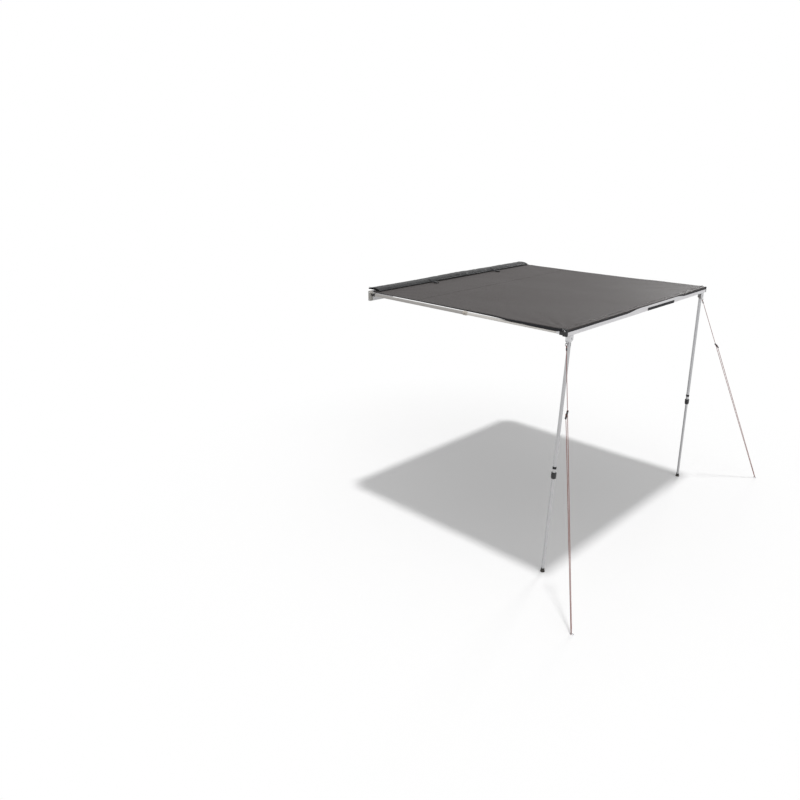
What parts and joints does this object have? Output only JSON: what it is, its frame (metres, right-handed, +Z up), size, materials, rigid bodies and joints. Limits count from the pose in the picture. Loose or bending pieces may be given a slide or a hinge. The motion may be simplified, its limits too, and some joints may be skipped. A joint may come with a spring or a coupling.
{
  "type": "vehicle side awning",
  "caption": "Pull-out side awning for a roof rack, standing open: backboard, canopy, telescopic arms and legs, outer rail, cover bag and guy ropes.",
  "frame": {"origin": "centre of the backboard's flat rear face, where it bolts to the side of the rack", "axes": "+X along the backboard towards the vehicle's front, +Y away from the vehicle towards the outer rail, +Z up"},
  "size_m": [3.6522, 2.8473, 2.2],
  "materials": {
    "alloy": "satin anodised extrusion and tube, silver",
    "warm_alloy": "satin anodised, warm beige silver",
    "white_alloy": "pale, almost white powder coat on aluminium, satin",
    "steel": "plated steel fasteners, rings and pegs",
    "black_plastic": "black moulded nylon, matt",
    "grey_plastic": "grey moulded nylon, matt",
    "rubber": "black moulded rubber feet",
    "canopy_cloth": "taupe grey coated polyester ripstop",
    "hem_cloth": "black grosgrain hem and keder bead",
    "bag_vinyl": "dark olive black PVC coated cover, semi-matt",
    "webbing": "black polypropylene webbing",
    "guy_rope": "faded terracotta pink braided guy rope"
  },
  "bodies": {
    "fixed_frame": {"backboard": "alloy", "front_end_bracket": "warm_alloy", "rear_end_bracket": "warm_alloy", "front_arm_pivot_pin": "steel", "rear_arm_pivot_pin": "steel", "rack_bolt_1": "steel", "rack_bolt_2": "steel", "rack_bolt_3": "steel", "rack_bolt_4": "steel", "rack_nut_1": "steel", "rack_nut_2": "steel", "rack_nut_3": "steel", "rack_nut_4": "steel", "cover_bag": "bag_vinyl", "front_bag_strap": "webbing", "rear_bag_strap": "webbing", "front_bag_buckle": "black_plastic", "rear_bag_buckle": "black_plastic", "canopy": "canopy_cloth", "canopy_keder": "hem_cloth"},
    "zip_slider": {"bag_zip_slider": "steel"},
    "rail": {"outer_rail": "white_alloy", "canopy_hem": "hem_cloth", "tie_strap": "webbing", "front_rail_cap": "black_plastic", "front_leg_bracket": "white_alloy", "front_leg_pivot_pin": "steel", "front_guy_ring": "steel", "front_guy_rope": "guy_rope", "front_guy_ferrule": "black_plastic", "front_guy_slider": "black_plastic", "front_guy_peg": "steel", "rear_rail_cap": "black_plastic", "rear_leg_bracket": "white_alloy", "rear_leg_pivot_pin": "steel", "rear_guy_ring": "steel", "rear_guy_rope": "guy_rope", "rear_guy_ferrule": "black_plastic", "rear_guy_slider": "black_plastic", "rear_guy_peg": "steel"},
    "front_arm": {"front_arm_knuckle": "black_plastic", "front_arm_outer_tube": "warm_alloy"},
    "front_arm_lock": {"front_arm_twist_lock": "grey_plastic"},
    "front_arm_slider": {"front_arm_inner_tube": "warm_alloy", "front_arm_tip": "black_plastic"},
    "front_leg": {"front_leg_knuckle": "grey_plastic", "front_leg_outer_tube": "alloy"},
    "front_leg_lock": {"front_leg_twist_lock": "black_plastic"},
    "front_leg_slider": {"front_leg_inner_tube": "alloy", "front_leg_foot": "rubber"},
    "rear_arm": {"rear_arm_knuckle": "black_plastic", "rear_arm_outer_tube": "warm_alloy"},
    "rear_arm_lock": {"rear_arm_twist_lock": "grey_plastic"},
    "rear_arm_slider": {"rear_arm_inner_tube": "warm_alloy", "rear_arm_tip": "black_plastic"},
    "rear_leg": {"rear_leg_knuckle": "grey_plastic", "rear_leg_outer_tube": "alloy"},
    "rear_leg_lock": {"rear_leg_twist_lock": "black_plastic"},
    "rear_leg_slider": {"rear_leg_inner_tube": "alloy", "rear_leg_foot": "rubber"}
  },
  "joints": [
    {"name": "rail_travel", "type": "slide", "parent": "fixed_frame", "child": "rail", "axis": [0, -1, 0], "range_m": [0, 0.84], "deforming": ["canopy"]},
    {"name": "zip_travel", "type": "slide", "parent": "fixed_frame", "child": "zip_slider", "axis": [-1, 0, 0], "range_m": [0, 2.24]},
    {"name": "front_arm_swing", "type": "hinge", "parent": "fixed_frame", "child": "front_arm", "pos_m": [1.232, 0.052, 0.015], "axis": [0, 0, 1], "range_deg": [0, 90]},
    {"name": "front_arm_telescope", "type": "slide", "parent": "front_arm", "child": "front_arm_slider", "axis": [0, -1, 0], "range_m": [0, 0.84]},
    {"name": "front_arm_lock_turn", "type": "hinge", "parent": "front_arm", "child": "front_arm_lock", "pos_m": [1.232, 0.052, 0.015], "axis": [0, 1, 0], "range_deg": [0, 90]},
    {"name": "front_leg_fold", "type": "hinge", "parent": "rail", "child": "front_leg", "pos_m": [1.175, 2.082, -0.03], "axis": [0, 1, 0], "range_deg": [0, 93]},
    {"name": "front_leg_telescope", "type": "slide", "parent": "front_leg", "child": "front_leg_slider", "axis": [-0.0523, 0, 0.9986], "range_m": [0, 0.79]},
    {"name": "front_leg_lock_turn", "type": "hinge", "parent": "front_leg", "child": "front_leg_lock", "pos_m": [1.175, 2.082, -0.03], "axis": [-0.0523, 0, 0.9986], "range_deg": [0, 90]},
    {"name": "rear_arm_swing", "type": "hinge", "parent": "fixed_frame", "child": "rear_arm", "pos_m": [-1.232, 0.052, 0.015], "axis": [0, 0, -1], "range_deg": [0, 90]},
    {"name": "rear_arm_telescope", "type": "slide", "parent": "rear_arm", "child": "rear_arm_slider", "axis": [0, -1, 0], "range_m": [0, 0.84]},
    {"name": "rear_arm_lock_turn", "type": "hinge", "parent": "rear_arm", "child": "rear_arm_lock", "pos_m": [-1.232, 0.052, 0.015], "axis": [0, 1, 0], "range_deg": [0, 90]},
    {"name": "rear_leg_fold", "type": "hinge", "parent": "rail", "child": "rear_leg", "pos_m": [-1.175, 2.082, -0.03], "axis": [0, -1, 0], "range_deg": [0, 93]},
    {"name": "rear_leg_telescope", "type": "slide", "parent": "rear_leg", "child": "rear_leg_slider", "axis": [0.0523, 0, 0.9986], "range_m": [0, 0.79]},
    {"name": "rear_leg_lock_turn", "type": "hinge", "parent": "rear_leg", "child": "rear_leg_lock", "pos_m": [-1.175, 2.082, -0.03], "axis": [0.0523, 0, 0.9986], "range_deg": [0, 90]}
  ],
  "couplings": [
    {"joint": "front_arm_telescope", "follows": "rail_travel", "ratio": 1},
    {"joint": "rear_arm_telescope", "follows": "rail_travel", "ratio": 1}
  ]
}
